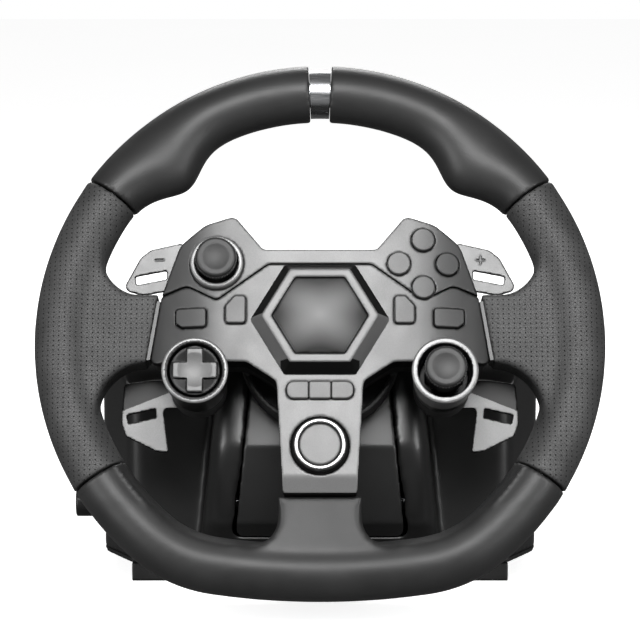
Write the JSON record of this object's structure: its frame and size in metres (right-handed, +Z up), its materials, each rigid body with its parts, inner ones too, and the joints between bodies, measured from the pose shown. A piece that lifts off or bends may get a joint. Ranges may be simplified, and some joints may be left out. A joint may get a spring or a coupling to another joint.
{
  "type": "racing wheel controller",
  "caption": "Desk racing wheel: leaning flat-bottomed wheel with gamepad controls and shift paddles, turning on a clamp-down base.",
  "frame": {"origin": "middle of the bounding box, on the desk", "axes": "+Z up, +X to the right of the driver, who sits at -Y; the steering axis leans 22 degrees up towards the driver"},
  "size_m": [0.28, 0.268, 0.2654],
  "materials": {
    "rim_smooth": "satin",
    "rim_leather": "satin",
    "bright_metal": "polished",
    "frame_metal": "satin",
    "face_satin": "satin",
    "shell_black": "matte",
    "bezel_grey": "satin",
    "badge_gloss": "gloss",
    "button_grey": "satin",
    "stick_rubber": "matte",
    "pod_grey": "satin",
    "gimbal_plastic": "matte",
    "board_green": "matte",
    "steel": "satin",
    "dark_steel": "matte",
    "bush_brass": "satin",
    "gear_plastic": "matte",
    "paddle_metal": "satin",
    "base_black": "satin",
    "panel_black": "satin",
    "jaw_metal": "matte",
    "socket_black": "matte",
    "foot_rubber": "matte"
  },
  "bodies": {
    "base": {"base_bottom_tray": "base_black", "base_housing": "base_black", "base_front_panel": "panel_black", "shaft_bushes": "bush_brass", "chassis": "dark_steel", "encoder_board": "board_green", "rear_connectors": "socket_black", "suction_feet": "foot_rubber", "housing_screws": "steel", "centring_spring": "steel"},
    "wheel": {"wheel_frame": "frame_metal", "grip_top": "rim_smooth", "grip_left": "rim_leather", "grip_right": "rim_leather", "grip_bottom": "rim_smooth", "top_marker": "bright_metal", "face_upper": "face_satin", "face_lower": "face_satin", "hub_back_shell": "shell_black", "hub_screws": "steel", "flange_bolts": "steel", "side_trims": "bright_metal", "hex_bezel": "bezel_grey", "hex_badge": "badge_gloss", "stick_collar_left": "pod_grey", "dpad_pod": "pod_grey", "stick_pod_right": "pod_grey", "home_ring": "bright_metal", "steering_shaft": "steel", "drive_gear": "gear_plastic", "control_board": "board_green", "vibration_motors": "steel", "paddle_pins": "steel"},
    "encoder": {"encoder_pinion": "gear_plastic"},
    "clamp": {"clamp_shaft": "steel", "clamp_lever": "base_black"},
    "jaw_left": {"clamp_jaw_left": "jaw_metal"},
    "jaw_right": {"clamp_jaw_right": "jaw_metal"},
    "stick_left_gimbal": {"gimbal_left": "gimbal_plastic"},
    "stick_left_cap": {"stick_left": "stick_rubber"},
    "stick_right_gimbal": {"gimbal_right": "gimbal_plastic"},
    "stick_right_cap": {"stick_right": "stick_rubber"},
    "pad_gimbal": {"dpad_gimbal": "gimbal_plastic"},
    "pad": {"dpad": "button_grey"},
    "button_face_top": {"button_face_top": "button_grey"},
    "button_face_right": {"button_face_right": "button_grey"},
    "button_face_bottom": {"button_face_bottom": "button_grey"},
    "button_face_left": {"button_face_left": "button_grey"},
    "button_menu_left": {"button_menu_left": "button_grey"},
    "button_menu_right": {"button_menu_right": "button_grey"},
    "button_bumper_left": {"button_bumper_left": "button_grey"},
    "button_bumper_right": {"button_bumper_right": "button_grey"},
    "button_row_left": {"button_row_left": "button_grey"},
    "button_row_middle": {"button_row_middle": "button_grey"},
    "button_row_right": {"button_row_right": "button_grey"},
    "button_home": {"button_home": "button_grey"},
    "paddle_upper_left": {"paddle_upper_left": "paddle_metal"},
    "paddle_upper_right": {"paddle_upper_right": "paddle_metal"},
    "paddle_lower_left": {"paddle_lower_left": "paddle_metal"},
    "paddle_lower_right": {"paddle_lower_right": "paddle_metal"}
  },
  "joints": [
    {"name": "steering", "type": "hinge", "parent": "base", "child": "wheel", "pos_m": [0, -0.07199, 0.1345], "axis": [0, -0.9272, 0.3746], "range_deg": [-450, 450], "stiffness_Nm_per_rad": 0.12},
    {"name": "encoder_spin", "type": "hinge", "parent": "base", "child": "encoder", "pos_m": [0, -0.02278, 0.08011], "axis": [0, -0.9272, 0.3746], "range_deg": [-1351, 1351]},
    {"name": "clamp_turn", "type": "hinge", "parent": "base", "child": "clamp", "pos_m": [-0.085, -0.00149, 0.037], "axis": [1, 0, 0], "range_deg": [0, 170]},
    {"name": "jaw_left_slide", "type": "slide", "parent": "base", "child": "jaw_left", "axis": [0, 0, -1], "range_m": [0, 0.02967]},
    {"name": "jaw_right_slide", "type": "slide", "parent": "base", "child": "jaw_right", "axis": [0, 0, -1], "range_m": [0, 0.02967]},
    {"name": "press_face_top", "type": "slide", "parent": "wheel", "child": "button_face_top", "axis": [0, 0.9272, -0.3746], "range_m": [0, 0.0012], "stiffness_N_per_m": 500, "springref_m": -0.0004},
    {"name": "press_face_right", "type": "slide", "parent": "wheel", "child": "button_face_right", "axis": [0, 0.9272, -0.3746], "range_m": [0, 0.0012], "stiffness_N_per_m": 500, "springref_m": -0.0004},
    {"name": "press_face_bottom", "type": "slide", "parent": "wheel", "child": "button_face_bottom", "axis": [0, 0.9272, -0.3746], "range_m": [0, 0.0012], "stiffness_N_per_m": 500, "springref_m": -0.0004},
    {"name": "press_face_left", "type": "slide", "parent": "wheel", "child": "button_face_left", "axis": [0, 0.9272, -0.3746], "range_m": [0, 0.0012], "stiffness_N_per_m": 500, "springref_m": -0.0004},
    {"name": "press_menu_left", "type": "slide", "parent": "wheel", "child": "button_menu_left", "axis": [0, 0.9272, -0.3746], "range_m": [0, 0.0012], "stiffness_N_per_m": 500, "springref_m": -0.0004},
    {"name": "press_menu_right", "type": "slide", "parent": "wheel", "child": "button_menu_right", "axis": [0, 0.9272, -0.3746], "range_m": [0, 0.0012], "stiffness_N_per_m": 500, "springref_m": -0.0004},
    {"name": "press_bumper_left", "type": "slide", "parent": "wheel", "child": "button_bumper_left", "axis": [0, 0.9272, -0.3746], "range_m": [0, 0.0012], "stiffness_N_per_m": 500, "springref_m": -0.0004},
    {"name": "press_bumper_right", "type": "slide", "parent": "wheel", "child": "button_bumper_right", "axis": [0, 0.9272, -0.3746], "range_m": [0, 0.0012], "stiffness_N_per_m": 500, "springref_m": -0.0004},
    {"name": "press_row_left", "type": "slide", "parent": "wheel", "child": "button_row_left", "axis": [0, 0.9272, -0.3746], "range_m": [0, 0.0012], "stiffness_N_per_m": 500, "springref_m": -0.0004},
    {"name": "press_row_middle", "type": "slide", "parent": "wheel", "child": "button_row_middle", "axis": [0, 0.9272, -0.3746], "range_m": [0, 0.0012], "stiffness_N_per_m": 500, "springref_m": -0.0004},
    {"name": "press_row_right", "type": "slide", "parent": "wheel", "child": "button_row_right", "axis": [0, 0.9272, -0.3746], "range_m": [0, 0.0012], "stiffness_N_per_m": 500, "springref_m": -0.0004},
    {"name": "press_home", "type": "slide", "parent": "wheel", "child": "button_home", "axis": [0, 0.9272, -0.3746], "range_m": [0, 0.0012], "stiffness_N_per_m": 500, "springref_m": -0.0004},
    {"name": "stick_left_pitch", "type": "hinge", "parent": "wheel", "child": "stick_left_gimbal", "pos_m": [-0.05, -0.0732, 0.17155], "axis": [1, 0, 0], "range_deg": [-12, 12], "stiffness_Nm_per_rad": 0.06},
    {"name": "stick_left_roll", "type": "hinge", "parent": "stick_left_gimbal", "child": "stick_left_cap", "pos_m": [-0.05, -0.0732, 0.17155], "axis": [0, 0.3746, 0.9272], "range_deg": [-12, 12], "stiffness_Nm_per_rad": 0.06},
    {"name": "stick_right_pitch", "type": "hinge", "parent": "wheel", "child": "stick_right_gimbal", "pos_m": [0.0594, -0.10873, 0.12497], "axis": [1, 0, 0], "range_deg": [-12, 12], "stiffness_Nm_per_rad": 0.06},
    {"name": "stick_right_roll", "type": "hinge", "parent": "stick_right_gimbal", "child": "stick_right_cap", "pos_m": [0.0594, -0.10873, 0.12497], "axis": [0, 0.3746, 0.9272], "range_deg": [-12, 12], "stiffness_Nm_per_rad": 0.06},
    {"name": "pad_pitch", "type": "hinge", "parent": "wheel", "child": "pad_gimbal", "pos_m": [-0.0594, -0.11476, 0.12741], "axis": [1, 0, 0], "range_deg": [-5, 5], "stiffness_Nm_per_rad": 0.25},
    {"name": "pad_roll", "type": "hinge", "parent": "pad_gimbal", "child": "pad", "pos_m": [-0.0594, -0.11476, 0.12741], "axis": [0, 0.3746, 0.9272], "range_deg": [-5, 5], "stiffness_Nm_per_rad": 0.25},
    {"name": "pull_upper_left", "type": "hinge", "parent": "wheel", "child": "paddle_upper_left", "pos_m": [-0.06, -0.04456, 0.16074], "axis": [0, 0.3746, 0.9272], "range_deg": [0, 5], "stiffness_Nm_per_rad": 0.5, "springref_deg": -6.88},
    {"name": "pull_upper_right", "type": "hinge", "parent": "wheel", "child": "paddle_upper_right", "pos_m": [0.06, -0.04456, 0.16074], "axis": [0, -0.3746, -0.9272], "range_deg": [0, 5], "stiffness_Nm_per_rad": 0.5, "springref_deg": -6.88},
    {"name": "pull_lower_left", "type": "hinge", "parent": "wheel", "child": "paddle_lower_left", "pos_m": [-0.06, -0.06187, 0.10615], "axis": [0, 0.3746, 0.9272], "range_deg": [0, 9], "stiffness_Nm_per_rad": 0.5, "springref_deg": -6.88},
    {"name": "pull_lower_right", "type": "hinge", "parent": "wheel", "child": "paddle_lower_right", "pos_m": [0.06, -0.06187, 0.10615], "axis": [0, -0.3746, -0.9272], "range_deg": [0, 9], "stiffness_Nm_per_rad": 0.5, "springref_deg": -6.88}
  ],
  "couplings": [
    {"joint": "encoder_spin", "follows": "steering", "ratio": -3},
    {"joint": "clamp_turn", "follows": "jaw_left_slide", "rad_per_m": 100},
    {"joint": "jaw_right_slide", "follows": "jaw_left_slide", "ratio": 1}
  ]
}
